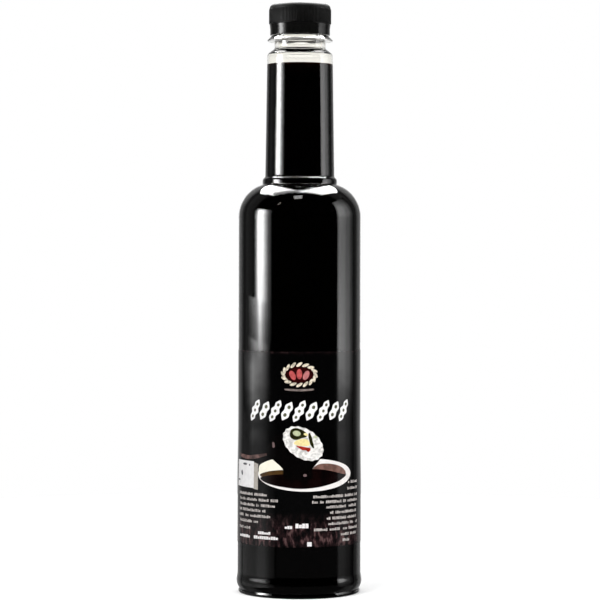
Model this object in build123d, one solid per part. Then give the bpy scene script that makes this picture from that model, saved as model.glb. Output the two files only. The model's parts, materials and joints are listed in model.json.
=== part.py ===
from build123d import *
import os
from math import atan2, cos, hypot, pi, sin, sqrt, tan

# A tall round soy sauce bottle: clear blown plastic, filled into the neck, shut by
# a black screw cap and wrapped in one film label.
# Millimetres. The foot stands on z = 0 and the axis is +Z.

# Body wall
lower_body_radius = 30.9
upper_body_radius = 30.5
taper_start_height = 56.0
taper_end_height = 82.0
body_height = 187.2
wall = 0.8

# Heel and foot
heel_bead_radius = 31.35
heel_bead_height = 6.0
heel_blend = 4.5
crease_radius = 30.1
crease_height = 2.2
foot_radius = 30.4
foot_side_height = 1.3
foot_edge_fillet = 0.7
foot_ring_width = 4.5
push_up = 3.0
base_thickness = 1.5
inner_heel_fillet = 3.0

# Shoulder and the collar at the root of the neck
shoulder_radius = 17.0
collar_radius = 18.6
collar_height = 2.5
collar_slope = 1.35
collar_foot_fillet = 0.5
collar_rounding = 0.37  # share of the slope that the fillet at each end of it takes

# Neck, narrowing to a waist under the support ring
neck_base_radius = 17.3
neck_top_radius = 16.4
neck_length = 61.0
neck_top_fillet = 2.4
waist_radius = 12.7
waist_slope = 2.8
waist_height = 3.75
waist_fillet = 1.6

# Inside of the neck: the bore runs a little below the waist, then steps out nearly flat
bore_radius = 10.9
bore_step = 2.0
bore_foot_fillet = 0.4
neck_inside_drop = 0.2
neck_inside_fillet = 0.6

# Support ring, and the finish that carries the cap
ring_radius = 16.35
ring_thickness = 0.4
ring_top_radius = 14.5
ring_slope = 1.9
ring_edge_fillet = 0.15
finish_radius = 13.6
finish_height = 14.5

# Screw cap
cap_gap = 0.5
cap_clearance = 0.15
cap_radius = 15.5
cap_top_thickness = 1.6
cap_top_fillet = 2.3
band_radius = 14.95
band_height = 3.1
band_slope = 2.4
band_edge_fillet = 0.3
tear_groove = 0.35
rib_depth = 0.25
rib_height = 7.2
rib_count = 120

# Fill and label
headspace = 5.7
label_bottom = 25.5
label_height = 95.5
label_thickness = 0.15

# Heights that follow from the sizes above
shoulder_centre = upper_body_radius - shoulder_radius
collar_base_height = body_height + sqrt(shoulder_radius**2 - (collar_radius - shoulder_centre) ** 2)
collar_top_height = collar_base_height + collar_height
neck_base_height = collar_top_height + collar_slope
collar_step = collar_radius - neck_base_radius
collar_fillet = collar_rounding * hypot(collar_step, collar_slope) / tan(atan2(collar_step, collar_slope) / 2)
neck_top_height = neck_base_height + neck_length
waist_base_height = neck_top_height + waist_slope
ring_base_height = waist_base_height + waist_height
ring_top_height = ring_base_height + ring_thickness + ring_slope
finish_top_height = ring_top_height + finish_height
fill_height = neck_top_height - headspace
cap_bottom_height = ring_top_height + cap_gap
cap_top_height = finish_top_height + cap_top_thickness


def spun(edges, corners):
    """Turn a half outline, drawn as (radius, height), about the axis.

    corners maps the outline's sharp corners to the radius that rounds each of them.
    """
    face = make_face(edges)
    for corner, radius in corners.items():
        vertex = face.vertices().sort_by_distance(Vector(*corner, 0))[0]
        face = fillet(vertex, radius)
    return revolve(Plane.XZ * face, axis=Axis.Z)


def dome(height, rim_radius, rim_height):
    """Arc of a shallow dome, level at the axis."""
    return TangentArc((0, height), (rim_radius, rim_height), tangent=(1, 0))


def shoulder_arc(inset):
    """Round shoulder from the body wall to the collar, moved inward by inset."""
    radius = shoulder_radius - inset
    collar = collar_radius - inset
    top = body_height + sqrt(radius**2 - (collar - shoulder_centre) ** 2)
    start = (upper_body_radius - inset, body_height)
    half_angle = atan2(top - body_height, collar - shoulder_centre) / 2
    middle = (shoulder_centre + radius * cos(half_angle), body_height + radius * sin(half_angle))
    return ThreePointArc(start, middle, (collar, top)), (collar, top)


def bottle_outside():
    """The bottle's outer form up to the support ring, as a full solid."""
    foot_inner = foot_radius - foot_ring_width
    crease = (crease_radius, crease_height)
    bead = (heel_bead_radius, heel_bead_height)
    wall_foot = (lower_body_radius, heel_bead_height + heel_blend)
    shoulder, collar_foot = shoulder_arc(0)
    collar_top = (collar_radius, collar_top_height)
    neck_base = (neck_base_radius, neck_base_height)
    neck_top = (neck_top_radius, neck_top_height)
    waist_base = (waist_radius, waist_base_height)
    edges = [
        dome(push_up, foot_inner, 0),
        Polyline((foot_inner, 0), (foot_radius, 0), (foot_radius, foot_side_height), crease),
        TangentArc(bead, crease, tangent=(0, -1)),
        Spline(bead, wall_foot, tangents=[(0, 1), (0, 1)]),
        Polyline(
            wall_foot,
            (lower_body_radius, taper_start_height),
            (upper_body_radius, taper_end_height),
            (upper_body_radius, body_height),
        ),
        shoulder,
        Polyline(
            collar_foot,
            collar_top,
            neck_base,
            neck_top,
            waist_base,
            (waist_radius, ring_top_height),
            (0, ring_top_height),
            (0, push_up),
        ),
    ]
    corners = {
        (foot_radius, 0): foot_edge_fillet,
        collar_foot: collar_foot_fillet,
        collar_top: collar_fillet,
        neck_base: collar_fillet,
        neck_top: neck_top_fillet,
        waist_base: waist_fillet,
    }
    return spun(edges, corners)


def bottle_inside():
    """The bottle's hollow, one wall inside the outer form and open at the lip."""
    lower = lower_body_radius - wall
    upper = upper_body_radius - wall
    floor_edge = foot_radius - foot_ring_width
    shoulder, collar_foot = shoulder_arc(wall)
    collar_top = (collar_radius - wall, collar_top_height)
    neck_base = (neck_base_radius - wall, neck_base_height)
    neck_top = (neck_top_radius - wall, neck_top_height - neck_inside_drop)
    bore_base = (bore_radius, waist_base_height - bore_step)
    edges = [
        dome(push_up + base_thickness, floor_edge, base_thickness),
        Polyline(
            (floor_edge, base_thickness),
            (lower, base_thickness),
            (lower, taper_start_height),
            (upper, taper_end_height),
            (upper, body_height),
        ),
        shoulder,
        Polyline(
            collar_foot,
            collar_top,
            neck_base,
            neck_top,
            bore_base,
            (bore_radius, finish_top_height),
            (0, finish_top_height),
            (0, push_up + base_thickness),
        ),
    ]
    corners = {
        (lower, base_thickness): inner_heel_fillet,
        collar_foot: collar_foot_fillet + wall,
        neck_base: collar_fillet,
        neck_top: neck_inside_fillet,
        bore_base: bore_foot_fillet,
    }
    return spun(edges, corners)


def support_ring():
    """Flange under the cap, flat below and sloped above."""
    outer_edge = (ring_radius, ring_base_height)
    upper_edge = (ring_radius, ring_base_height + ring_thickness)
    outline = Polyline(
        (bore_radius, ring_base_height),
        outer_edge,
        upper_edge,
        (ring_top_radius, ring_top_height),
        (bore_radius, ring_top_height),
        close=True,
    )
    return spun(outline, {outer_edge: ring_edge_fillet, upper_edge: ring_edge_fillet})


def finish():
    """The mouth inside the cap: a plain sleeve as wide as its thread."""
    outline = Polyline(
        (bore_radius, ring_top_height),
        (finish_radius, ring_top_height),
        (finish_radius, finish_top_height),
        (bore_radius, finish_top_height),
        close=True,
    )
    return spun(outline, {})


def bottle(inside):
    """The clear bottle in one piece, from its foot to the lip under the cap."""
    return bottle_outside() + support_ring() + finish() - inside


def soy_sauce(inside):
    """Everything in the hollow up to the level in the neck."""
    room = Box(
        3 * lower_body_radius,
        3 * lower_body_radius,
        fill_height,
        align=(Align.CENTER, Align.CENTER, Align.MIN),
    )
    return inside & room


def grip_ribs():
    """Ring of fine upright ribs round the cap's skirt."""
    root = cap_radius - rib_depth
    points = []
    for index in range(2 * rib_count):
        angle = index * pi / rib_count
        radius = cap_radius if index % 2 else root
        points.append((radius * cos(angle), radius * sin(angle)))
    ring = make_face(Polyline(*points, close=True)) - Circle(root - rib_depth)
    base = cap_bottom_height + band_height + band_slope + tear_groove
    return extrude(Plane.XY.offset(base) * ring, rib_height)


def screw_cap():
    """Closure in one moulding: ribbed skirt, tear groove and narrower tamper band."""
    skirt = cap_radius - rib_depth
    bore = finish_radius + cap_clearance
    band_top = cap_bottom_height + band_height
    slope_top = band_top + band_slope
    skirt_bottom = slope_top + tear_groove
    edges = Polyline(
        (0, cap_top_height),
        (skirt, cap_top_height),
        (skirt, skirt_bottom),
        (skirt - tear_groove, skirt_bottom),
        (skirt - tear_groove, slope_top),
        (skirt, slope_top),
        (band_radius, band_top),
        (band_radius, cap_bottom_height),
        (bore, cap_bottom_height),
        (bore, finish_top_height),
        (0, finish_top_height),
        close=True,
    )
    corners = {
        (skirt, cap_top_height): cap_top_fillet,
        (band_radius, cap_bottom_height): band_edge_fillet,
    }
    return spun(edges, corners) + grip_ribs()


def wall_radius(height):
    """Outer radius of the body wall, which narrows once between two straight runs."""
    share = (height - taper_start_height) / (taper_end_height - taper_start_height)
    share = min(max(share, 0), 1)
    return lower_body_radius + (upper_body_radius - lower_body_radius) * share


def label():
    """Film sleeve round the body, lying on the wall and following its narrowing."""
    label_top = label_bottom + label_height
    bends = [h for h in (taper_start_height, taper_end_height) if label_bottom < h < label_top]
    heights = [label_bottom, *bends, label_top]
    inner = [(wall_radius(height), height) for height in heights]
    outer = [(radius + label_thickness, height) for radius, height in reversed(inner)]
    return spun(Polyline(*inner, *outer, close=True), {})


os.makedirs("parts", exist_ok=True)
hollow = bottle_inside()
nodes = {
    "bottle": bottle(hollow),
    "soy_sauce": soy_sauce(hollow),
    "screw_cap": screw_cap(),
    "label": label(),
}
for name, shape in nodes.items():
    export_step(shape, f"parts/{name}.step")
    print(name, round(shape.volume / 1000, 2), "ml")
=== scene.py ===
import bpy
import json
from math import acos, asin, atan2, cos, degrees, pi, radians, sin, sqrt, tan
from mathutils import Matrix, Vector

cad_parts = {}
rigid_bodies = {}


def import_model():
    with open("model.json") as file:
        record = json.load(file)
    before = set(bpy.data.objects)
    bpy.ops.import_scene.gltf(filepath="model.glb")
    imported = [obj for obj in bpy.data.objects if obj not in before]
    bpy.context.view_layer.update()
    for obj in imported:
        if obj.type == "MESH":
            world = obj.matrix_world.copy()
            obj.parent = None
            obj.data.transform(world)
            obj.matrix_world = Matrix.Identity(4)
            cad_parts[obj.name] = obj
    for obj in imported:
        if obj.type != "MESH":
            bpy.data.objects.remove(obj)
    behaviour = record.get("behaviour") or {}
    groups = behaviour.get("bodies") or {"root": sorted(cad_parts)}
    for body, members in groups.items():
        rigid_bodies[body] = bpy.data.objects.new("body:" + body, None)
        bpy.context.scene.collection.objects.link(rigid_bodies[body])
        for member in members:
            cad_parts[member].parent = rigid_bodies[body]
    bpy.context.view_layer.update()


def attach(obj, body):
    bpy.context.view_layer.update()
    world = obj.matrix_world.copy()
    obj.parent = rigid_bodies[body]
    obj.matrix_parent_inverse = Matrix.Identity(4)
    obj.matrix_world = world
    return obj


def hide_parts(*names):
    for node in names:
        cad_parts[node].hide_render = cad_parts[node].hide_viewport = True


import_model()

mm = 0.001
fullTurn = 2 * pi
mergeGap = 0.0005 * mm


def clearSelection():
    if bpy.context.mode != "OBJECT":
        bpy.ops.object.mode_set(mode="OBJECT")
    bpy.ops.object.select_all(action="DESELECT")


def pick(piece):
    clearSelection()
    piece.select_set(True)
    bpy.context.view_layer.objects.active = piece


def edit(piece):
    pick(piece)
    bpy.ops.object.mode_set(mode="EDIT")
    bpy.ops.mesh.select_all(action="SELECT")


def leaveEdit():
    bpy.ops.object.mode_set(mode="OBJECT")


def added(name):
    piece = bpy.context.active_object
    piece.name = name
    piece.data.name = name
    return piece


def applyAll(piece):
    pick(piece)
    for modifier in list(piece.modifiers):
        bpy.ops.object.modifier_apply(modifier=modifier.name)


def smooth(piece, angle=32):
    pick(piece)
    bpy.ops.object.shade_smooth_by_angle(angle=radians(angle))


def joined(name, pieces):
    clearSelection()
    for piece in pieces:
        piece.select_set(True)
    bpy.context.view_layer.objects.active = pieces[0]
    bpy.ops.object.join()
    return added(name)


def arc(centre, radius, start, end, steps):
    # points of an arc, in degrees from the outward direction
    points = []
    for step in range(steps + 1):
        angle = radians(start + (end - start) * step / steps)
        points.append((centre[0] + radius * cos(angle), centre[1] + radius * sin(angle), 0))
    return points


def rounded(corners, turnStep=7.5):
    # outline of (radius, height, fillet) corners, with each fillet drawn as short chords
    points = []
    last = len(corners) - 1
    for index, (x, z, fillet) in enumerate(corners):
        here = Vector((x, z))
        if not fillet or index in (0, last):
            points.append(here)
            continue
        inward = (here - Vector(corners[index - 1][:2])).normalized()
        outward = (Vector(corners[index + 1][:2]) - here).normalized()
        turn = inward.angle(outward)
        side = 1 if inward.cross(outward) > 0 else -1
        start = here - inward * fillet * tan(turn / 2)
        centre = start + Vector((-inward.y, inward.x)) * side * fillet
        steps = max(2, round(degrees(turn) / turnStep))
        for step in range(steps + 1):
            swing = Matrix.Rotation(side * turn * step / steps, 2)
            points.append(centre + swing @ (start - centre))
    return points


def turned(name, outline, steps=144, sweep=fullTurn):
    # one loose point is drawn out along the outline, then spun about the axis
    clearSelection()
    bpy.ops.mesh.primitive_plane_add(size=mm, location=(0, 0, 0))
    piece = added(name)
    edit(piece)
    bpy.ops.mesh.merge(type="CENTER")
    bpy.ops.transform.translate(value=(outline[0].x * mm, 0, outline[0].y * mm))
    for here, there in zip(outline, outline[1:]):
        move = ((there.x - here.x) * mm, 0, (there.y - here.y) * mm)
        bpy.ops.mesh.extrude_region_move(TRANSFORM_OT_translate={"value": move})
    bpy.ops.mesh.select_all(action="SELECT")
    bpy.ops.mesh.spin(steps=steps, angle=sweep, center=(0, 0, 0), axis=(0, 0, 1))
    bpy.ops.mesh.select_all(action="SELECT")
    bpy.ops.mesh.remove_doubles(threshold=mergeGap)
    bpy.ops.mesh.normals_make_consistent(inside=False)
    leaveEdit()
    return piece


bottleSizes = {
    "lowerBody": 30.9, "upperBody": 30.5, "taperStart": 56.0, "taperEnd": 82.0,
    "bodyHeight": 187.2, "wall": 0.8,
    "beadRadius": 31.35, "beadHeight": 6.0, "beadBlend": 4.5,
    "creaseRadius": 30.1, "creaseHeight": 2.2,
    "footRadius": 30.4, "footSide": 1.3, "footInner": 25.9,
    "pushUp": 3.0, "base": 1.5,
    "shoulder": 17.0, "collar": 18.6, "collarHeight": 2.5, "collarSlope": 1.35,
    "neckBase": 17.3, "neckTop": 16.4, "neckLength": 61.0,
    "waist": 12.7, "waistSlope": 2.8, "waistHeight": 3.75, "bore": 10.9, "boreStep": 2.0, "insideDrop": 0.2,
    "ring": 16.35, "ringThick": 0.4, "ringTop": 14.5, "ringSlope": 1.9,
    "finish": 13.6, "finishHeight": 14.5, "headspace": 5.7,
}
outsideFillets = {
    "foot": 0.7, "footSide": 0.3, "collarFoot": 0.5, "collarTop": 1.7, "neckBase": 1.7, "neckTop": 2.4,
    "waistBase": 1.6, "waistTop": 0.3, "ring": 0.15, "ringTop": 0.2, "lip": 0.4,
}
insideFillets = {"lip": 0.3, "bore": 0.4, "neckTop": 0.6, "neckBase": 1.7, "collarFoot": 1.3, "heel": 3.0}
shoulderShare = 0.86  # of the shoulder is arc, and the rest runs straight to the collar


def bottleHeights(s):
    centre = s["upperBody"] - s["shoulder"]
    collarFoot = s["bodyHeight"] + sqrt(s["shoulder"] ** 2 - (s["collar"] - centre) ** 2)
    collarTop = collarFoot + s["collarHeight"]
    neckBase = collarTop + s["collarSlope"]
    neckTop = neckBase + s["neckLength"]
    waistBase = neckTop + s["waistSlope"]
    ringBase = waistBase + s["waistHeight"]
    ringTop = ringBase + s["ringThick"] + s["ringSlope"]
    return {
        "centre": centre, "collarFoot": collarFoot, "collarTop": collarTop,
        "neckBase": neckBase, "neckTop": neckTop, "waistBase": waistBase,
        "ringBase": ringBase, "ringTop": ringTop, "lip": ringTop + s["finishHeight"],
        "fill": neckTop - s["headspace"],
    }


def domed(rimRadius, rimHeight, rise, steps=10):
    # shallow dome from its rim to the axis
    radius = (rimRadius ** 2 + rise ** 2) / (2 * rise)
    points = []
    for step in range(steps + 1):
        x = rimRadius * (1 - step / steps)
        points.append((x, rimHeight + rise - radius + sqrt(radius ** 2 - x ** 2), 0))
    return points


def shoulderArc(s, h, inset):
    radius = s["shoulder"] - inset
    top = degrees(acos((s["collar"] - inset - h["centre"]) / radius))
    return arc((h["centre"], s["bodyHeight"]), radius, 0, top * shoulderShare, 16)


def heel(s, blendSteps=8):
    # out from the crease to the bead, then eased back in to the wall
    out = s["beadRadius"] - s["creaseRadius"]
    up = s["beadHeight"] - s["creaseHeight"]
    radius = (out ** 2 + up ** 2) / (2 * out)
    points = arc((s["beadRadius"] - radius, s["beadHeight"]), radius, -degrees(asin(up / radius)), 0, 6)
    for step in range(1, blendSteps + 1):
        share = step / blendSteps
        ease = share * share * (3 - 2 * share)
        points.append((s["beadRadius"] + (s["lowerBody"] - s["beadRadius"]) * ease,
                       s["beadHeight"] + s["beadBlend"] * share, 0))
    return points


def bottleOutside(s, h, f):
    return [
        *reversed(domed(s["footInner"], 0, s["pushUp"])),
        (s["footRadius"], 0, f["foot"]),
        (s["footRadius"], s["footSide"], f["footSide"]),
        *heel(s),
        (s["lowerBody"], s["taperStart"], 0),
        (s["upperBody"], s["taperEnd"], 0),
        *shoulderArc(s, h, 0),
        (s["collar"], h["collarFoot"], f["collarFoot"]),
        (s["collar"], h["collarTop"], f["collarTop"]),
        (s["neckBase"], h["neckBase"], f["neckBase"]),
        (s["neckTop"], h["neckTop"], f["neckTop"]),
        (s["waist"], h["waistBase"], f["waistBase"]),
        (s["waist"], h["ringBase"], f["waistTop"]),
        (s["ring"], h["ringBase"], f["ring"]),
        (s["ring"], h["ringBase"] + s["ringThick"], f["ring"]),
        (s["ringTop"], h["ringTop"], f["ringTop"]),
        (s["finish"], h["ringTop"], 0),
        (s["finish"], h["lip"], f["lip"]),
    ]


def bottleInside(s, h, f, inset):
    # the hollow, from the bore down to the axis, inset millimetres inside the outer form
    lower = s["lowerBody"] - inset
    upper = s["upperBody"] - inset
    return [
        (s["bore"], h["waistBase"] - s["boreStep"], f["bore"]),
        (s["neckTop"] - inset, h["neckTop"] - s["insideDrop"], f["neckTop"]),
        (s["neckBase"] - inset, h["neckBase"], f["neckBase"]),
        (s["collar"] - inset, h["collarTop"], 0),
        (s["collar"] - inset, h["collarFoot"], f["collarFoot"]),
        *reversed(shoulderArc(s, h, inset)),
        (upper, s["taperEnd"], 0),
        (lower, s["taperStart"], 0),
        (lower, s["base"], f["heel"]),
        *domed(s["footInner"], s["base"], s["pushUp"]),
    ]


sizes = bottleSizes
heights = bottleHeights(sizes)
innerLip = [(sizes["bore"] + insideFillets["lip"], heights["lip"], 0),
            (sizes["bore"], heights["lip"] - insideFillets["lip"], 0)]
bottle = turned("clearBottle", rounded(bottleOutside(sizes, heights, outsideFillets) + innerLip
                                       + bottleInside(sizes, heights, insideFillets, sizes["wall"])))
smooth(bottle)
print("bottle modelled")


# the last two give the span below and above the fill level where light shining through the sauce is painted
sauceSizes = {"intoWall": 0.12, "meniscus": 0.7, "meniscusWidth": 1.6, "meniscusFillet": 0.8,
              "backlitBelow": 7, "backlitAbove": 1}


def sauceOutline(s, h, sauce):
    # follows the hollow, a hair into the wall, and climbs a little where it meets the neck
    inset = s["wall"] - sauce["intoWall"]
    share = (h["fill"] - h["neckBase"]) / s["neckLength"]
    edge = s["neckBase"] + (s["neckTop"] - s["neckBase"]) * share - inset
    belowNeck = bottleInside(s, h, insideFillets, inset)[2:]
    floorTop = s["base"] + s["pushUp"] + sauce["intoWall"]
    return [
        (0, h["fill"], 0),
        (edge - sauce["meniscusWidth"], h["fill"], sauce["meniscusFillet"]),
        (edge, h["fill"] + sauce["meniscus"], 0),
        *[(x, z - sauce["intoWall"] if z < floorTop else z, fillet) for x, z, fillet in belowNeck],
    ]


sauce = turned("soySauce", rounded(sauceOutline(sizes, heights, sauceSizes)))
smooth(sauce)
print("sauce modelled")


capSizes = {
    "gap": 0.5, "radius": 15.5, "top": 1.6, "clearance": 0.15, "topFillet": 2.3,
    "band": 14.95, "bandHeight": 3.1, "bandSlope": 2.4, "groove": 0.35,
    "ribDepth": 0.25, "ribHeight": 7.2, "ribCount": 120, "ribWidth": 0.5, "ribBevel": 0.17,
    "dish": 0.15, "dishStart": 0.78, "dishEnd": 0.8, "dishFillet": 0.5,
    "skirtFillet": 0.12, "grooveFillet": 0.1, "slopeFillet": 0.25, "bandFillet": 1.5,
    "footFillet": 0.35, "boreFillet": 0.2, "innerFillet": 0.3, "glossBlend": 0.4,
}


def capOutline(s, h, c):
    base = h["ringTop"] + c["gap"]
    bandTop = base + c["bandHeight"]
    slopeTop = bandTop + c["bandSlope"]
    skirt = c["radius"] - c["ribDepth"]
    capTop = h["lip"] + c["top"]
    bore = s["finish"] + c["clearance"]
    return [
        (0, capTop - c["dish"], 0),
        (skirt * c["dishStart"], capTop - c["dish"], c["dishFillet"]),
        (skirt * c["dishEnd"], capTop, c["dishFillet"]),
        (skirt, capTop, c["topFillet"]),
        (skirt, slopeTop + c["groove"], c["skirtFillet"]),
        (skirt - c["groove"], slopeTop + c["groove"], c["grooveFillet"]),
        (skirt - c["groove"], slopeTop, c["grooveFillet"]),
        (skirt, slopeTop, c["slopeFillet"]),
        (c["band"], bandTop, c["bandFillet"]),
        (c["band"], base, c["footFillet"]),
        (bore, base, c["boreFillet"]),
        (bore, h["lip"], c["innerFillet"]),
        (0, h["lip"], 0),
    ]


def ribRing(h, c):
    # one rounded rib, spun round as separate copies
    base = h["ringTop"] + c["gap"] + c["bandHeight"] + c["bandSlope"] + c["groove"]
    skirt = c["radius"] - c["ribDepth"]
    clearSelection()
    bpy.ops.mesh.primitive_cube_add(size=1, location=(0, 0, 0))
    rib = added("capRibs")
    edit(rib)
    bpy.ops.transform.resize(value=(2 * c["ribDepth"] * mm, c["ribWidth"] * mm, c["ribHeight"] * mm))
    middle = Vector((skirt, 0, base + c["ribHeight"] / 2)) * mm
    bpy.ops.transform.translate(value=middle)
    bpy.ops.mesh.bevel(offset=c["ribBevel"] * mm, segments=2)
    bpy.ops.mesh.select_all(action="SELECT")
    bpy.ops.mesh.spin(steps=c["ribCount"], angle=fullTurn, dupli=True,
                      center=(0, 0, 0), axis=(0, 0, 1), use_auto_merge=False)
    bpy.ops.mesh.select_all(action="SELECT")
    bpy.ops.mesh.remove_doubles(threshold=mergeGap)
    leaveEdit()
    return rib


capShell = turned("capShell", rounded(capOutline(sizes, heights, capSizes), 10), 120)
cap = joined("screwCap", [capShell, ribRing(heights, capSizes)])
smooth(cap, 40)
print("cap modelled")


labelSizes = {
    "bottom": 25.5, "height": 95.5, "film": 0.11, "gap": 0.03,
    "overlap": 9.0, "lap": 0.13, "rows": 48, "turnSteps": 144,
}


def wallRadius(z):
    share = (z - sizes["taperStart"]) / (sizes["taperEnd"] - sizes["taperStart"])
    share = min(max(share, 0), 1)
    return sizes["lowerBody"] + (sizes["upperBody"] - sizes["lowerBody"]) * share


def filmLabel(c):
    # an upright edge at the back, spun past a full turn so that its end laps over its start
    steps = c["turnSteps"]
    lapSteps = round(c["overlap"] / sizes["upperBody"] / fullTurn * steps)
    heightsUp = [c["bottom"] + c["height"] * row / c["rows"] for row in range(c["rows"] + 1)]
    inner = [Vector((wallRadius(z) + c["gap"], z)) for z in heightsUp]
    clearSelection()
    bpy.ops.mesh.primitive_plane_add(size=mm, location=(0, 0, 0))
    film = added("filmLabel")
    edit(film)
    bpy.ops.mesh.merge(type="CENTER")
    bpy.ops.transform.translate(value=(0, inner[0].x * mm, inner[0].y * mm))
    for here, there in zip(inner, inner[1:]):
        move = (0, (there.x - here.x) * mm, (there.y - here.y) * mm)
        bpy.ops.mesh.extrude_region_move(TRANSFORM_OT_translate={"value": move})
    bpy.ops.mesh.select_all(action="SELECT")
    bpy.ops.mesh.spin(steps=steps + lapSteps, angle=fullTurn * (steps + lapSteps) / steps,
                      center=(0, 0, 0), axis=(0, 0, 1), use_auto_merge=False)
    leaveEdit()
    liftLap(film, steps, c)
    edit(film)
    bpy.ops.mesh.normals_make_consistent(inside=False)
    leaveEdit()
    faceOutwards(film)
    film.modifiers.new("thickness", "SOLIDIFY").thickness = c["film"] * mm
    film.modifiers["thickness"].offset = 1
    applyAll(film)
    return film


def liftLap(film, steps, c):
    # the last columns of the spin stand proud of the film beneath them
    column = c["rows"] + 1
    edit(film)
    bpy.ops.mesh.select_all(action="DESELECT")
    leaveEdit()
    for index, vertex in enumerate(film.data.vertices):
        vertex.select = index // column >= steps
    bpy.ops.object.mode_set(mode="EDIT")
    grow = 1 + c["lap"] / sizes["upperBody"]
    bpy.ops.transform.resize(value=(grow, grow, 1), center_override=(0, 0, 0))
    leaveEdit()


def faceOutwards(sheet):
    # an open sheet has no inside, so its normals are turned by where they point
    sheet.data.update()
    face = sheet.data.polygons[len(sheet.data.polygons) // 2]
    if face.normal.dot(Vector((face.center.x, face.center.y, 0))) < 0:
        edit(sheet)
        bpy.ops.mesh.flip_normals()
        leaveEdit()


film = filmLabel(labelSizes)
smooth(film)
print("label modelled")


# the print: flat drawings, x along the film from the middle of the front and z up, laid on it in layers

def startDrawing(name):
    clearSelection()
    bpy.ops.mesh.primitive_plane_add(size=mm, location=(0, 0, 0))
    sheet = added(name)
    edit(sheet)
    bpy.ops.mesh.delete(type="VERT")
    return sheet


def fill(points):
    # a closed shape, drawn out point by point and filled
    bpy.ops.mesh.primitive_plane_add(size=mm, location=(0, 0, 0))
    bpy.ops.mesh.merge(type="CENTER")
    bpy.ops.transform.translate(value=(points[0][0] * mm, 0, points[0][1] * mm))
    for here, there in zip(points, points[1:]):
        move = ((there[0] - here[0]) * mm, 0, (there[1] - here[1]) * mm)
        bpy.ops.mesh.extrude_region_move(TRANSFORM_OT_translate={"value": move})
    bpy.ops.mesh.select_linked()
    bpy.ops.mesh.edge_face_add()


def oval(x, z, across, up, tilt=0.0, lobes=0, lobe=0.0, count=36):
    points = []
    for step in range(count):
        angle = fullTurn * step / count
        swell = 1 + lobe * cos(lobes * angle)
        flat = Vector((across * cos(angle), up * sin(angle))) * swell
        points.append(Matrix.Rotation(radians(tilt), 2) @ flat + Vector((x, z)))
    return points


def softened(corners, closed=True, steps=5):
    # a smooth line through the corners
    count = len(corners)
    points = []
    for index in range(count if closed else count - 1):
        around = [corners[(index + offset) % count] if closed
                  else corners[min(max(index + offset, 0), count - 1)] for offset in (-1, 0, 1, 2)]
        a, b, c, d = (Vector(corner) for corner in around)
        for step in range(steps):
            t = step / steps
            points.append(0.5 * (2 * b + (c - a) * t + (2 * a - 5 * b + 4 * c - d) * t ** 2
                                 + (3 * b - a - 3 * c + d) * t ** 3))
    if not closed:
        points.append(Vector(corners[-1]))
    return points


def stroke(line, width, taper=0.35):
    # outline of a brush stroke along a line, thinner at its ends
    line = softened(line, closed=False)
    left, right = [], []
    for index, point in enumerate(line):
        before, after = line[max(index - 1, 0)], line[min(index + 1, len(line) - 1)]
        along = (after - before).normalized()
        share = index / (len(line) - 1)
        half = width / 2 * (taper + (1 - taper) * min(1, 4 * share, 4 * (1 - share)))
        left.append(point + Vector((-along.y, along.x)) * half)
        right.append(point - Vector((-along.y, along.x)) * half)
    return left + right[::-1]


wrapSizes = {"strip": 2.0, "thickness": 0.02, "clearOfFilm": 1.04}


def wrapOn(sheet, lift, c=wrapSizes):
    # cut into narrow strips, bent to the film's curve and laid on its face
    leaveEdit()
    edit(sheet)
    bpy.ops.mesh.quads_convert_to_tris(quad_method="BEAUTY", ngon_method="BEAUTY")
    low = min(vertex.co.x for vertex in sheet.data.vertices) / mm
    high = max(vertex.co.x for vertex in sheet.data.vertices) / mm
    strip = c["strip"]
    for index in range(int(low / strip) - 1, int(high / strip) + 2):
        bpy.ops.mesh.select_all(action="SELECT")
        bpy.ops.mesh.bisect(plane_co=(index * strip * mm, 0, 0), plane_no=(1, 0, 0))
    leaveEdit()
    low = min(vertex.co.x for vertex in sheet.data.vertices)
    high = max(vertex.co.x for vertex in sheet.data.vertices)
    pick(sheet)
    bend = sheet.modifiers.new("bend", "SIMPLE_DEFORM")
    bend.deform_method = "BEND"
    bend.deform_axis = "Z"
    bend.angle = (high - low) / (sizes["upperBody"] * mm)
    applyAll(sheet)
    edit(sheet)
    bpy.ops.transform.translate(value=(0, -sizes["upperBody"] * mm, 0))
    bpy.ops.transform.resize(value=(c["clearOfFilm"], c["clearOfFilm"], 1), center_override=(0, 0, 0))
    leaveEdit()
    hug = sheet.modifiers.new("hug", "SHRINKWRAP")
    hug.target = film
    hug.wrap_method = "NEAREST_SURFACEPOINT"
    hug.wrap_mode = "ABOVE_SURFACE"
    hug.offset = lift * mm
    applyAll(sheet)
    turnOut(sheet)
    sheet.modifiers.new("ink", "SOLIDIFY").thickness = c["thickness"] * mm
    sheet.modifiers["ink"].offset = 1
    applyAll(sheet)


def turnOut(sheet):
    for polygon in sheet.data.polygons:
        outward = Vector((polygon.center.x, polygon.center.y, 0))
        polygon.select = polygon.normal.dot(outward) < 0
    for vertex in sheet.data.vertices:
        vertex.select = False
    for edge in sheet.data.edges:
        edge.select = False
    bpy.context.view_layer.objects.active = sheet
    bpy.ops.object.mode_set(mode="EDIT")
    bpy.ops.mesh.select_mode(type="FACE")
    bpy.ops.mesh.flip_normals()
    bpy.ops.mesh.select_mode(type="VERT")
    leaveEdit()


def drawn(name, lift, *shapes):
    # one flat piece of the print, from any number of closed shapes
    sheet = startDrawing(name)
    for shape in shapes:
        fill(shape)
    wrapOn(sheet, lift)
    return sheet


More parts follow.
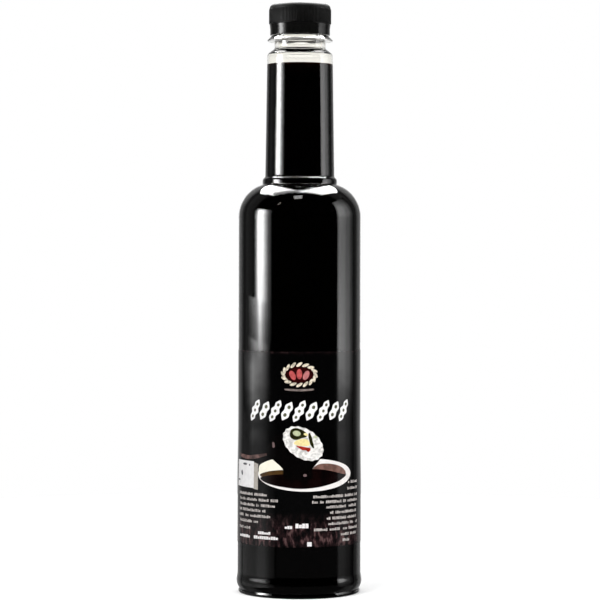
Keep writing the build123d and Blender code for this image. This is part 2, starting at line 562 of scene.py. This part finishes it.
# a dish of sauce
dishPieces = [
    drawn("printDish", 0.03, oval(3.7, 60.8, 25.3, 8.05, count=64)),
    drawn("printDishInside", 0.05,
          softened([(6, 61), (7, 64.4), (10, 66.1), (15, 66.2), (20, 65.2), (23.4, 63.6), (25.3, 61.4),
                    (24.4, 59.4), (16, 57.6), (8, 58)])),
    drawn("printDishPale", 0.05,
          softened([(-20.6, 60.6), (-20.9, 64.6), (-18, 66.6), (-13.8, 68.1), (-12.2, 67.6), (-8.6, 64.6),
                    (-8.2, 62.8), (-12, 62.8), (-17, 61.8)])),
    drawn("printDishGlow", 0.07,
          softened([(-20.3, 60.6), (-16, 62.2), (-11, 63), (-7, 63), (-7, 60.4), (-12, 59.8),
                    (-18.4, 59.2)])),
    drawn("printDishSauce", 0.09,
          softened([(-20.1, 58.9), (-18, 59.8), (-13, 60.7), (-7, 61.4), (-2, 63.6), (8, 63.7), (14, 63),
                    (19, 61.8), (23, 60.8), (25.4, 60), (20.6, 57.4), (14, 55.7), (8, 54.6), (0, 54.1),
                    (-8, 54.9), (-14.6, 56.1), (-18.8, 57.5)])),
]

# a filled rice roll standing in it
rollPieces = [
    drawn("printRollSkin", 0.11,
          softened([(-14.6, 76.6), (-16.4, 73.6), (-14.4, 69.4), (-8.1, 63.9), (-7.4, 59.4), (0, 58.2),
                    (6.4, 59.4), (6.4, 63.6), (10.8, 69.6), (10, 74), (0, 80), (-8, 81), (-12.4, 79.4)])),
    drawn("printRollGlint", 0.13, softened([(-13.4, 76.6), (-12.4, 76.4), (-12.2, 74.4), (-13.2, 74.2)]),
          oval(2.8, 60.7, 0.9, 0.7)),
    drawn("printRice", 0.13, oval(2.0, 76.2, 10.9, 7.1, -33, lobes=17, lobe=0.022, count=102)),
    drawn("printRollGreen", 0.15,
          softened([(-4.6, 80.6), (-3.9, 83), (-1.6, 83.8), (1.2, 83), (3.4, 81.4), (3.6, 79.6), (1, 78.8),
                    (-1.6, 78), (-3.8, 78.8)]),
          stroke([(4.8, 81.4), (5.4, 78.8), (6.0, 76.4), (7.0, 74)], 1.6)),
    drawn("printRollPale", 0.17, oval(-1.2, 81.2, 1.9, 1.3, -12), oval(8, 79.4, 0.8, 0.7)),
    drawn("printRollYellow", 0.17,
          softened([(-2.6, 76.2), (-1.4, 77.7), (1.4, 78.5), (3.9, 78.2), (4.9, 76.9), (4.8, 75.3), (2.4, 75),
                    (-0.6, 75.3)]), oval(3.2, 80.7, 1.1, 0.6, -20)),
    drawn("printRollRed", 0.17,
          softened([(-1.4, 75.1), (1, 74.9), (3.4, 74.4), (5.2, 74.1), (5.4, 72.9), (4.2, 72.1), (3.3, 72.9),
                    (1.7, 73), (0, 74)])),
]


# an even row of bean pods
podSizes = {
    "count": 9, "reach": 24.0, "height": 92.0, "long": 12.0, "short": 10.2, "lean": 62,
    "bulge": 0.2, "half": 1.95, "point": 0.6,
    "seed": 0.2, "seedMost": 0.95, "seedUp": 0.85, "seedSpread": 0.84,
}


def podPlaces(c):
    # by turns a longer pod of three seeds and a shorter one of two
    for place in range(c["count"]):
        x = c["reach"] * (2 * place / (c["count"] - 1) - 1)
        long = place % 2 == 0
        yield x, c["height"], c["long"] if long else c["short"], c["lean"], 3 if long else 2


def onPod(pod, along, aside):
    x, z, length, lean, seeds = pod
    turn = Matrix.Rotation(radians(lean), 2)
    return turn @ Vector(((along - 0.5) * length, aside)) + Vector((x, z))


def podOutline(pod, c, points=28):
    # swells over each seed and is pointed at both ends
    seeds = pod[4]
    edges = []
    for side in (1, -1):
        for step in range(points):
            share = step / points if side > 0 else 1 - step / points
            swell = sin(pi * share) ** c["point"] * (1 - c["bulge"] * cos(fullTurn * seeds * share))
            edges.append(onPod(pod, share, side * c["half"] * swell))
    return edges


def podSeeds(pod, c):
    length, lean, seeds = pod[2:]
    size = min(c["seed"] * length / seeds, c["seedMost"])
    for seed in range(seeds):
        middle = onPod(pod, 0.5 + (seed - (seeds - 1) / 2) * c["seedSpread"] / seeds, 0)
        yield oval(middle.x, middle.y, size, size * c["seedUp"], lean, count=16)


pods = list(podPlaces(podSizes))
podPieces = [
    drawn("printPods", 0.03, *(podOutline(pod, podSizes) for pod in pods)),
    drawn("printSeeds", 0.05, *(seed for pod in pods for seed in podSeeds(pod, podSizes))),
]


# a leaf wreath round three beans
wreathSizes = {
    "leaves": 16, "across": 7.9, "up": 5.0, "middle": 109.8, "long": 1.75, "wide": 0.72, "turned": 32,
}


def wreath(c):
    # leaves round an oval, each turned a little off the way round
    for leaf in range(c["leaves"]):
        angle = fullTurn * leaf / c["leaves"]
        along = degrees(atan2(c["up"] * cos(angle), -c["across"] * sin(angle)))
        yield oval(c["across"] * cos(angle), c["middle"] + c["up"] * sin(angle), c["long"], c["wide"],
                   along + c["turned"], count=16)


emblemPieces = [
    drawn("printEmblemDark", 0.03, oval(0, 109.8, 6.6, 3.9)),
    drawn("printEmblemRed", 0.05, oval(-3.3, 109.5, 1.35, 2.4, 26), oval(0, 110.1, 1.35, 2.5)),
    drawn("printEmblemPink", 0.05, oval(3.3, 109.5, 1.35, 2.4, -26)),
    drawn("printEmblemCream", 0.07, *wreath(wreathSizes)),
    drawn("printEmblemDim", 0.05, stroke([(-7.2, 102.6), (0, 102.2), (7.2, 102.6)], 1.0, 0.7)),
]


rowSizes = {
    "letter": 1.0, "space": 0.08, "height": 1.5, "lift": 0.03,
    "lowShare": 0.4, "low": 0.7, "gapShare": 0.15,
}

# rows as (height, start, end)
leftRows = [(50.6, -38, -14.3), (48.0, -38, -10.3), (45.3, -38, -11.8), (42.7, -38, -16.0),
            (40.0, -38, -14.3), (37.2, -38, -21.5), (33.9, -38, -27.0)]
rightRows = [(56.6, 27, 35.5), (53.5, 25.4, 35.5), (50.1, 4.8, 35.5), (47.5, 6.2, 35.5), (44.9, 13.5, 35.5),
             (42.2, 14.5, 35.5), (39.4, 13.8, 35.5), (36.7, 14.5, 35.5), (34.0, 7.2, 35.5), (31.2, 22, 35.5),
             (28.3, 23.2, 28)]


def fineRow(z, start, end, seed, c, height=1.0, letter=1.0):
    # a row of small blocks with gaps, standing in for small print
    width = c["letter"] * letter
    count = max(2, round((end - start) / width))
    clearSelection()
    bpy.ops.mesh.primitive_grid_add(x_subdivisions=count, y_subdivisions=1, size=1, location=(0, 0, 0),
                                    rotation=(pi / 2, 0, 0))
    row = added("row")
    pick(row)
    bpy.ops.object.transform_apply(location=False, rotation=True, scale=False)
    edit(row)
    bpy.ops.mesh.select_mode(type="FACE")
    tall = c["height"] * height
    bpy.ops.transform.resize(value=((end - start) * mm, 1, tall * mm), center_override=(0, 0, 0))
    bpy.ops.transform.translate(value=((start + end) / 2 * mm, 0, z * mm))
    bpy.ops.mesh.inset(thickness=c["space"] * mm, use_individual=True)
    bpy.ops.mesh.select_all(action="INVERT")
    bpy.ops.mesh.delete(type="FACE")
    bpy.ops.mesh.select_all(action="DESELECT")
    bpy.ops.mesh.select_random(ratio=c["lowShare"], seed=seed)
    bpy.ops.transform.resize(value=(1, 1, c["low"]), center_override=(0, 0, (z - tall * (1 - c["low"])) * mm))
    bpy.ops.mesh.select_all(action="DESELECT")
    bpy.ops.mesh.select_random(ratio=c["gapShare"], seed=seed + 50)
    bpy.ops.mesh.delete(type="FACE")
    bpy.ops.mesh.select_mode(type="VERT")
    leaveEdit()
    return row


def smallPrint(name, places, c):
    rows = [fineRow(z, start, end, index + 1, c, *rest)
            for index, (z, start, end, *rest) in enumerate(places)]
    block = joined(name, rows)
    wrapOn(block, c["lift"])
    return block


rowPieces = [
    smallPrint("printRows", leftRows + rightRows, rowSizes),
    smallPrint("printBold", [
        (31.9, -21.6, -13.0, 1.0, 1.2), (29.6, -24.4, -9.0, 1.1, 1.25), (29.6, -38.5, -27.2, 1.05, 1.2),
        (35.2, -7.0, -3.2, 1.1, 1.2), (36.0, -1.8, 4.6, 1.6, 1.5)], rowSizes),
]

# a box at the left, a small square below, and a wooden edge behind the dish
boxPieces = [
    drawn("printBox", 0.11, [(-40, 53.9), (-24.4, 53.6), (-24.4, 66.8), (-40, 66.8)],
          [(3.9, 26.0), (6.1, 26.0), (6.1, 28.1), (3.9, 28.1)]),
    drawn("printBoxEdge", 0.09, [(-24.8, 53.3), (-21.6, 52.9), (-21.6, 65.6), (-24.8, 66.4)]),
    drawn("printBoxMarks", 0.13, oval(-31.6, 65.1, 1.9, 0.55), oval(-34.6, 60.6, 0.9, 1.3, 20),
          oval(-38, 57, 1.2, 0.5), oval(-27.6, 64.8, 0.5, 0.5)),
    drawn("printWood", 0.05,
          stroke([(-39, 69.6), (-34, 68.9), (-28, 68.6), (-22, 69.4), (-16.5, 70.6)], 1.9, 0.5)),
]
print("print drawn")


def newMaterial(name):
    stuff = bpy.data.materials.new(name)
    stuff.use_nodes = True
    return stuff, stuff.node_tree.nodes, stuff.node_tree.links, stuff.node_tree.nodes["Principled BSDF"]


def noiseOn(nodes, links, scale, detail=3.0, stretch=(1, 1, 1)):
    # noise in object space, stretched by the given amounts
    place = nodes.new("ShaderNodeTexCoord")
    turn = nodes.new("ShaderNodeMapping")
    turn.inputs["Scale"].default_value = stretch
    noise = nodes.new("ShaderNodeTexNoise")
    noise.inputs["Scale"].default_value = scale
    noise.inputs["Detail"].default_value = detail
    links.new(place.outputs["Object"], turn.inputs["Vector"])
    links.new(turn.outputs["Vector"], noise.inputs["Vector"])
    return noise


def ramp(nodes, links, source, stops):
    # colour ramp, stops given as (place, colour)
    band = nodes.new("ShaderNodeValToRGB")
    band.color_ramp.interpolation = "EASE"
    while len(band.color_ramp.elements) < len(stops):
        band.color_ramp.elements.new(0.5)
    for element, (place, colour) in zip(band.color_ramp.elements, stops):
        element.position = place
        element.color = (*colour, 1)
    links.new(source, band.inputs["Fac"])
    return band


def combined(nodes, links, operation, first, second):
    # two values made into one by the named operation
    node = nodes.new("ShaderNodeMath")
    node.operation = operation
    for value, socket in zip((first, second), node.inputs):
        if isinstance(value, bpy.types.NodeSocket):
            links.new(value, socket)
        else:
            socket.default_value = value
    return node.outputs["Value"]


def spanned(nodes, links, source, fromLow, fromHigh, toLow, toHigh):
    # eases from one value to another while the source runs over its span
    span = nodes.new("ShaderNodeMapRange")
    span.interpolation_type = "SMOOTHSTEP"
    for name, value in zip(("From Min", "From Max", "To Min", "To Max"), (fromLow, fromHigh, toLow, toHigh)):
        span.inputs[name].default_value = value
    links.new(source, span.inputs["Value"])
    return span.outputs["Result"]


def heightOn(nodes, links, low, high):
    # 0 at the low height and 1 at the high one
    place = nodes.new("ShaderNodeTexCoord")
    split = nodes.new("ShaderNodeSeparateXYZ")
    span = nodes.new("ShaderNodeMapRange")
    span.inputs["From Min"].default_value = low * mm
    span.inputs["From Max"].default_value = high * mm
    links.new(place.outputs["Object"], split.inputs["Vector"])
    links.new(split.outputs["Z"], span.inputs["Value"])
    return span.outputs["Result"]


def bumpFrom(nodes, links, shader, source, distance, strength=1.0):
    bump = nodes.new("ShaderNodeBump")
    bump.inputs["Strength"].default_value = strength
    bump.inputs["Distance"].default_value = distance
    links.new(source, bump.inputs["Height"])
    links.new(bump.outputs["Normal"], shader.inputs["Normal"])


def clearPlastic():
    stuff, nodes, links, shader = newMaterial("clearPlastic")
    shader.inputs["Base Color"].default_value = (0.975, 0.965, 0.925, 1)
    shader.inputs["Transmission Weight"].default_value = 1
    shader.inputs["IOR"].default_value = 1.57
    shader.inputs["Roughness"].default_value = 0.02
    # blown walls are never quite even
    sway = noiseOn(nodes, links, 38, 1.5, (1, 1, 0.35))
    bumpFrom(nodes, links, shader, sway.outputs["Fac"], 0.00012)
    return stuff


def sauceBlack():
    stuff, nodes, links, shader = newMaterial("sauceBlack")
    # a little browner towards the edge of its surface: painted light, standing in for light shining through
    # the liquid where it thins out
    depth = heightOn(nodes, links, heights["fill"] - sauceSizes["backlitBelow"],
                     heights["fill"] + sauceSizes["backlitAbove"])
    tint = ramp(nodes, links, depth, [
        (0, (0.0005, 0.0004, 0.0004)), (0.6, (0.0016, 0.0006, 0.0005)),
        (0.86, (0.004, 0.0012, 0.0008)), (0.9, (0.02, 0.007, 0.004)), (1, (0.05, 0.02, 0.011))])
    links.new(tint.outputs["Color"], shader.inputs["Base Color"])
    shader.inputs["Roughness"].default_value = 0.08
    shader.inputs["Specular IOR Level"].default_value = 0
    return stuff


def capPlastic():
    stuff, nodes, links, shader = newMaterial("capPlastic")
    grain = noiseOn(nodes, links, 900, 4)
    tint = ramp(nodes, links, grain.outputs["Fac"], [
        (0.3, (0.0025, 0.0025, 0.0024)), (0.7, (0.0045, 0.0045, 0.0042))])
    links.new(tint.outputs["Color"], shader.inputs["Base Color"])
    base = heights["ringTop"] + capSizes["gap"]
    slopeTop = base + capSizes["bandHeight"] + capSizes["bandSlope"]
    # glossy below the groove and dull on the ribs above it
    rise = heightOn(nodes, links, slopeTop - capSizes["glossBlend"], slopeTop + capSizes["glossBlend"])
    rough = nodes.new("ShaderNodeMapRange")
    rough.inputs["To Min"].default_value = 0.14
    rough.inputs["To Max"].default_value = 0.5
    links.new(rise, rough.inputs["Value"])
    links.new(rough.outputs["Result"], shader.inputs["Roughness"])
    shader.inputs["Specular IOR Level"].default_value = 0.25
    bumpFrom(nodes, links, shader, grain.outputs["Fac"], 0.00004)
    return stuff


def filmBlack():
    stuff, nodes, links, shader = newMaterial("filmBlack")
    c = labelSizes
    # a mottled printed band at the foot, fading upwards, and a faint lighter line at the top edge, a painted
    # highlight where the film's edge catches the light
    mottle = noiseOn(nodes, links, 560, 6, (1, 1, 0.4))
    brown = ramp(nodes, links, mottle.outputs["Fac"], [
        (0.4, (0.002, 0.0015, 0.0018)), (0.52, (0.018, 0.008, 0.009)), (0.66, (0.09, 0.05, 0.05))])
    # the last stop paints the highlight along the top edge
    fade = ramp(nodes, links, heightOn(nodes, links, c["bottom"], c["bottom"] + c["height"]), [
        (place, (share,) * 3) for place, share in
        ((0, 0.5), (0.03, 1), (0.09, 0.8), (0.14, 0.2), (0.18, 0), (0.985, 0), (1, 0.35))])
    black = nodes.new("ShaderNodeMix")
    black.data_type = "RGBA"
    black.inputs["A"].default_value = (0.0008, 0.0008, 0.0009, 1)
    links.new(fade.outputs["Color"], black.inputs["Factor"])
    links.new(brown.outputs["Color"], black.inputs["B"])
    links.new(black.outputs["Result"], shader.inputs["Base Color"])
    shader.inputs["Roughness"].default_value = 0.1
    sway = noiseOn(nodes, links, 60, 2)
    bumpFrom(nodes, links, shader, sway.outputs["Fac"], 0.00008)
    return stuff


def dress(piece, stuff, node):
    piece.data.materials.clear()
    piece.data.materials.append(stuff)
    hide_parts(node)
    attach(piece, "root")


dress(bottle, clearPlastic(), "bottle")
dress(sauce, sauceBlack(), "soy_sauce")
dress(cap, capPlastic(), "screw_cap")
dress(film, filmBlack(), "label")


def ink(name, colour, shade=0.86, scale=900):
    # printed colour, a little uneven, under the same gloss as the film
    stuff, nodes, links, shader = newMaterial(name)
    grain = noiseOn(nodes, links, scale, 4)
    darker = tuple(channel * shade for channel in colour)
    tint = ramp(nodes, links, grain.outputs["Fac"], [(0.35, darker), (0.6, colour)])
    links.new(tint.outputs["Color"], shader.inputs["Base Color"])
    shader.inputs["Roughness"].default_value = 0.14
    return stuff


finishes = {
    "printDish": ink("dishWhite", (0.82, 0.79, 0.77), 0.93, 500),
    "printDishPale": ink("dishCream", (0.86, 0.83, 0.7), 0.95, 400),
    "printDishInside": ink("dishShade", (0.19, 0.1, 0.08), 0.6, 300),
    "printDishGlow": ink("dishBrown", (0.07, 0.035, 0.01), 0.5, 300),
    "printDishSauce": ink("pooledSauce", (0.004, 0.0008, 0.0008), 0.3, 200),
    "printRollSkin": ink("rollBlack", (0.0015, 0.001, 0.001), 0.5),
    "printRollGlint": ink("rollGlint", (0.16, 0.11, 0.11)),
    "printRice": ink("riceWhite", (0.82, 0.8, 0.77), 0.6, 700),
    "printRollGreen": ink("leafDark", (0.02, 0.02, 0.004), 0.4),
    "printRollPale": ink("paleGreen", (0.5, 0.54, 0.34)),
    "printRollYellow": ink("paleYellow", (0.84, 0.72, 0.34)),
    "printRollRed": ink("rollRed", (0.38, 0.025, 0.015), 0.5),
    "printPods": ink("podWhite", (0.87, 0.86, 0.86), 0.9),
    "printSeeds": ink("seedOlive", (0.11, 0.115, 0.07), 0.7),
    "printEmblemDark": ink("fruitShade", (0.03, 0.002, 0.002), 0.4, 500),
    "printEmblemRed": ink("fruitRed", (0.5, 0.09, 0.09), 0.6, 500),
    "printEmblemPink": ink("fruitPink", (0.48, 0.17, 0.17), 0.7, 500),
    "printEmblemCream": ink("leafCream", (0.78, 0.7, 0.55), 0.5),
    "printEmblemDim": ink("dimGrey", (0.22, 0.18, 0.165), 0.45),
    "printRows": ink("rowGrey", (0.5, 0.46, 0.44), 0.5, 700),
    "printBold": ink("boldWhite", (0.82, 0.79, 0.79), 0.8),
    "printBox": ink("boxWhite", (0.78, 0.77, 0.77), 0.92, 500),
    "printBoxEdge": ink("boxEdge", (0.4, 0.37, 0.33), 0.85, 500),
    "printBoxMarks": ink("markGrey", (0.12, 0.12, 0.13), 0.6),
    "printWood": ink("woodBrown", (0.16, 0.09, 0.08), 0.25, 260),
}
for piece in [*dishPieces, *rollPieces, *podPieces, *emblemPieces, *rowPieces, *boxPieces]:
    piece.data.materials.clear()
    piece.data.materials.append(finishes[piece.name])
    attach(piece, "root")
print("finishes done")


studio = {
    "distance": 1.19, "eye": 0.165, "aim": 0.14575, "lens": 142.8,
    "side": 0.0002, "roll": -0.12, "sensor": 36,
}


def glow(name, strength, across, up):
    # light of a card, its level drawn along the card's width and height as (place, share) stops
    stuff = bpy.data.materials.new(name)
    stuff.use_nodes = True
    nodes, links = stuff.node_tree.nodes, stuff.node_tree.links
    nodes.clear()
    place = nodes.new("ShaderNodeTexCoord")
    split = nodes.new("ShaderNodeSeparateXYZ")
    links.new(place.outputs["UV"], split.inputs["Vector"])
    wide, high = (ramp(nodes, links, split.outputs[axis], [(at, (share,) * 3) for at, share in stops])
                  for axis, stops in (("X", across), ("Y", up)))
    level = combined(nodes, links, "MULTIPLY", wide.outputs["Color"], high.outputs["Color"])
    light = nodes.new("ShaderNodeEmission")
    links.new(combined(nodes, links, "MULTIPLY", level, strength), light.inputs["Strength"])
    out = nodes.new("ShaderNodeOutputMaterial")
    links.new(light.outputs["Emission"], out.inputs["Surface"])
    return stuff


def reflector(name, corners, stuff):
    # a flat card, laid through four corners, that only shiny surfaces see
    clearSelection()
    bpy.ops.mesh.primitive_plane_add(size=1, location=(0, 0, 0))
    card = added(name)
    for vertex, corner in zip(card.data.vertices, corners):
        vertex.co = corner
    card.data.materials.append(stuff)
    card.visible_camera = False
    card.visible_diffuse = False
    card.visible_transmission = False
    card.visible_shadow = False
    return card


def bearing(angle, reach, z):
    # a place round the bottle, the angle taken from straight in front and growing towards +X
    return Vector((reach * sin(radians(angle)), -reach * cos(radians(angle)), z))


def upright(name, start, end, low, high, strength, across, up):
    # an upright card, with its stops given in degrees and metres
    corners = [bearing(start, 1, low), bearing(end, 1, low), bearing(start, 1, high), bearing(end, 1, high)]
    across = [((angle - start) / (end - start), share) for angle, share in across]
    up = [((z - low) / (high - low), share) for z, share in up]
    return reflector(name, corners, glow(name, strength, across, up))


# left window: a narrow bright strip that broadens and dims towards the floor
upright("leftCardHigh", -96, -52, 0.15, 0.53, 22,
        [(-96, 0), (-92, 0.03), (-87.5, 0.25), (-82, 1), (-74, 1), (-70, 0.66), (-66, 0.3), (-60, 0.06),
         (-52, 0)],
        [(0.15, 0.8), (0.2, 1), (0.4, 1), (0.49, 0.45), (0.53, 0.02)])
upright("leftCardJoin", -112, -52, 0.11, 0.15, 17.6,
        [(-112, 0.015), (-103, 0.05), (-96, 0.11), (-90, 0.2), (-86, 0.34), (-80, 1), (-77, 0.95),
         (-72, 0.45), (-66, 0.16), (-60, 0.05), (-52, 0)],
        [(0.11, 0.42), (0.125, 0.58), (0.14, 0.85), (0.15, 1)])
upright("leftCardMid", -112, -54, 0.085, 0.11, 7.4,
        [(-112, 0.04), (-103, 0.12), (-97, 0.3), (-90, 0.52), (-85, 0.62), (-79, 1), (-75, 0.8), (-69, 0.42),
         (-64, 0.18), (-60, 0.06), (-54, 0)],
        [(0.085, 0.47), (0.094, 0.57), (0.11, 1)])
upright("leftCardLow", -128, -54, 0.03, 0.085, 5.5,
        [(-128, 0.02), (-120, 0.06), (-113, 0.11), (-106, 0.24), (-100, 0.62), (-95, 1), (-89, 0.82),
         (-78, 0.55), (-69, 0.35), (-64, 0.2), (-60, 0.07), (-54, 0)],
        [(0.03, 0.05), (0.047, 0.2), (0.055, 0.4), (0.07, 0.7), (0.085, 1)])
upright("leftCardFloor", -128, -42, -0.3, 0.03, 0.66,
        [(-128, 0.4), (-108, 0.5), (-90, 0.6), (-78, 1), (-70, 0.95), (-64, 0.6), (-58, 0.32), (-52, 0.22),
         (-42, 0)],
        [(-0.3, 0.9), (-0.11, 1), (0.01, 0.5), (0.03, 0.55)])
upright("rightCard", 74, 121, -0.25, 0.95, 3.7,
        [(74, 0.3), (80, 1), (88, 0.85), (101, 0.42), (114, 0.1), (121, 0)],
        [(-0.25, 0.06), (-0.11, 0.07), (0.03, 0.15), (0.0487, 0.3), (0.0645, 1), (0.1126, 0.9),
         (0.216, 0.6), (0.25, 0.9), (0.5, 0.9), (0.8, 0.5), (0.95, 0.2)])
overheadHeight = 1.2
even = [(0, 1), (1, 1)]
rising = [(0, 0.05), (0.06, 0.22), (0.15, 1), (1, 1)]


def overhead(name, strength, corners, up):
    # a level card above the bottle
    return reflector(name, [(x, y, overheadHeight) for x, y in corners], glow(name, strength, even, up))


overhead("overheadLeft", 15, [(-0.62, -0.08), (-0.05, -0.14), (-0.88, 0.68), (-0.05, 2.3)], rising)
overhead("overheadRight", 15, [(-0.05, -0.14), (0.52, -0.14), (-0.05, 2.3), (0.78, 0.72)], rising)
overhead("overheadSmall", 4.8, [(-0.17, -0.6), (0.07, -0.6), (-0.17, -0.32), (0.07, -0.32)], even)
smallPlace = bearing(-46, 1.0, 1.04)
smallHalf = {"across": 0.06, "up": 0.12}
reflector("smallKey", [smallPlace + Vector((x * smallHalf["across"], 0, z * smallHalf["up"]))
                       for z in (-1, 1) for x in (-1, 1)], glow("smallKey", 2.6, even, even))


def seenPlainly(nodes, links):
    # 1 where the camera sees the surface itself or through something clear
    rays = nodes.new("ShaderNodeLightPath")
    return combined(nodes, links, "MAXIMUM",
                    rays.outputs["Is Camera Ray"], rays.outputs["Is Transmission Ray"])


worldLevels = {
    "soft": 0.4, "upBack": 0.2, "lowGlow": 0.04,
    # level of the dark room by the angle from straight behind the object
    "room": ((90, 0), (80, 0.12), (62, 0.14), (56, 0.07), (50, 0.06), (44, 0.17), (37, 0.31), (28, 0.36),
             (21, 0.45), (14, 1)),
}


def studioWorld(c):
    # plain soft light; shiny surfaces see a dark room with a white wall behind the object
    world = bpy.data.worlds.new("studio")
    bpy.context.scene.world = world
    world.use_nodes = True
    nodes, links = world.node_tree.nodes, world.node_tree.links
    nodes.clear()
    rays = nodes.new("ShaderNodeLightPath")
    direction = nodes.new("ShaderNodeTexCoord")
    split = nodes.new("ShaderNodeSeparateXYZ")
    links.new(direction.outputs["Generated"], split.inputs["Vector"])
    room = ramp(nodes, links, split.outputs["Y"], [
        (cos(radians(angle)), (share,) * 3) for angle, share in c["room"]])
    upBack = combined(nodes, links, "MULTIPLY",
                      spanned(nodes, links, split.outputs["Z"], 0.2, 0.5, 0, c["upBack"]),
                      spanned(nodes, links, split.outputs["Y"], 0.6, 0.75, 0, 1))
    lowGlow = spanned(nodes, links, split.outputs["Z"], -0.1, -0.055, c["lowGlow"], 0)
    lit = combined(nodes, links, "ADD", combined(nodes, links, "ADD", room.outputs["Color"], upBack), lowGlow)
    dull = nodes.new("ShaderNodeMix")
    dull.inputs["A"].default_value = c["soft"]
    links.new(rays.outputs["Is Glossy Ray"], dull.inputs["Factor"])
    links.new(lit, dull.inputs["B"])
    white = nodes.new("ShaderNodeMix")
    white.inputs["B"].default_value = 1
    links.new(seenPlainly(nodes, links), white.inputs["Factor"])
    links.new(dull.outputs["Result"], white.inputs["A"])
    sky = nodes.new("ShaderNodeBackground")
    sky.inputs["Color"].default_value = (1, 1, 1, 1)
    links.new(white.outputs["Result"], sky.inputs["Strength"])
    out = nodes.new("ShaderNodeOutputWorld")
    links.new(sky.outputs["Background"], out.inputs["Surface"])


studioWorld(worldLevels)


lampAim = Vector((0, 0, 0.12))


def softLamp(name, place, size, energy):
    # an area lamp that lights the object and isn't mirrored in it
    clearSelection()
    bpy.ops.object.light_add(type="AREA", location=place)
    lamp = bpy.context.active_object
    lamp.name = name
    lamp.data.size = size
    lamp.data.energy = energy
    lamp.rotation_euler = (lampAim - Vector(place)).to_track_quat("-Z", "Y").to_euler()
    lamp.visible_camera = False
    lamp.visible_glossy = False
    lamp.visible_transmission = False
    return lamp


softLamp("keyLamp", bearing(-37, 1.1, 1.1), 0.6, 13)
softLamp("fillLamp", bearing(50, 1.2, 0.6), 0.8, 8.5)
softLamp("topLamp", (0, 0.1, 1.3), 0.7, 9)


floorSizes = {"radius": 0.5, "near": 0.1, "far": 0.475, "nearLift": 0.22}


def paleFloor(c):
    # a white disc that keeps the shadow near the object and fades into the white around it
    clearSelection()
    bpy.ops.mesh.primitive_circle_add(vertices=96, radius=c["radius"], fill_type="NGON",
                                      location=(0, 0, 0))
    floor = added("floor")
    stuff, nodes, links, shader = newMaterial("floorPale")
    shader.inputs["Base Color"].default_value = (0.8, 0.8, 0.8, 1)
    shader.inputs["Roughness"].default_value = 0.9
    shader.inputs["Specular IOR Level"].default_value = 0
    place = nodes.new("ShaderNodeTexCoord")
    reach = nodes.new("ShaderNodeVectorMath")
    reach.operation = "LENGTH"
    links.new(place.outputs["Object"], reach.inputs[0])
    lift = spanned(nodes, links, reach.outputs["Value"], c["near"], c["far"], c["nearLift"], 1)
    shader.inputs["Emission Color"].default_value = (1, 1, 1, 1)
    links.new(combined(nodes, links, "MULTIPLY", lift, seenPlainly(nodes, links)),
              shader.inputs["Emission Strength"])
    floor.data.materials.append(stuff)
    floor.visible_glossy = False


paleFloor(floorSizes)
print("studio set")

clearSelection()
tilt = atan2(studio["eye"] - studio["aim"], studio["distance"])
bpy.ops.object.camera_add(location=(studio["side"], -studio["distance"], studio["eye"]),
                          rotation=(pi / 2 - tilt, radians(studio["roll"]), 0))
camera = bpy.context.active_object
camera.data.lens = studio["lens"]
camera.data.sensor_width = studio["sensor"]
bpy.context.scene.camera = camera
bpy.context.scene.view_settings.view_transform = "Standard"
